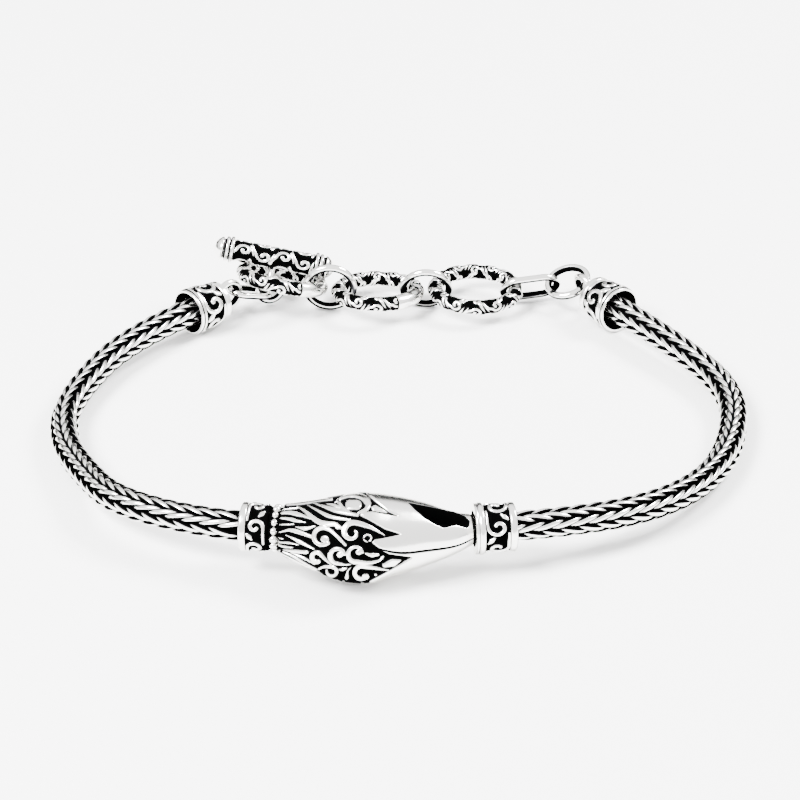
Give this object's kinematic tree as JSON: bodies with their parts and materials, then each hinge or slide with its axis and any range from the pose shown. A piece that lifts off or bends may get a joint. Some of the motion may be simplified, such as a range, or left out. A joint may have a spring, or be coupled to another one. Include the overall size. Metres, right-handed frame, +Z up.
{
  "type": "eagle head bracelet",
  "caption": "Cast silver bracelet with an eagle head on a woven foxtail chain, closed at the back by a toggle bar and ornate round rings.",
  "frame": {"origin": "Middle of the bounding box in plan, on the surface that the bracelet lies on", "axes": "+X runs along the bracelet's front from the neck of the eagle to its beak, -Y points to the front with the head, +Z is up"},
  "size_m": [0.0716, 0.0679, 0.0088],
  "materials": {
    "silver_cast": "polished cast sterling silver, oxidised black in the recesses",
    "silver_woven": "woven silver wire, oxidised between the strands and worn bright on top",
    "silver_polished": "plain polished silver wire"
  },
  "bodies": {
    "root": {"eagle_head": "silver_cast", "band_left": "silver_cast", "band_right": "silver_cast", "chain_left": "silver_woven", "chain_right": "silver_woven", "cap_left": "silver_cast", "cap_right": "silver_cast", "link_left": "silver_polished", "ring_left": "silver_polished", "toggle_bar": "silver_cast", "toggle_ring_1": "silver_cast", "toggle_ring_2": "silver_cast", "toggle_ring_3": "silver_cast", "jump_ring_1": "silver_polished", "jump_ring_2": "silver_polished", "link_right": "silver_polished", "ring_right": "silver_polished"}
  },
  "joints": []
}
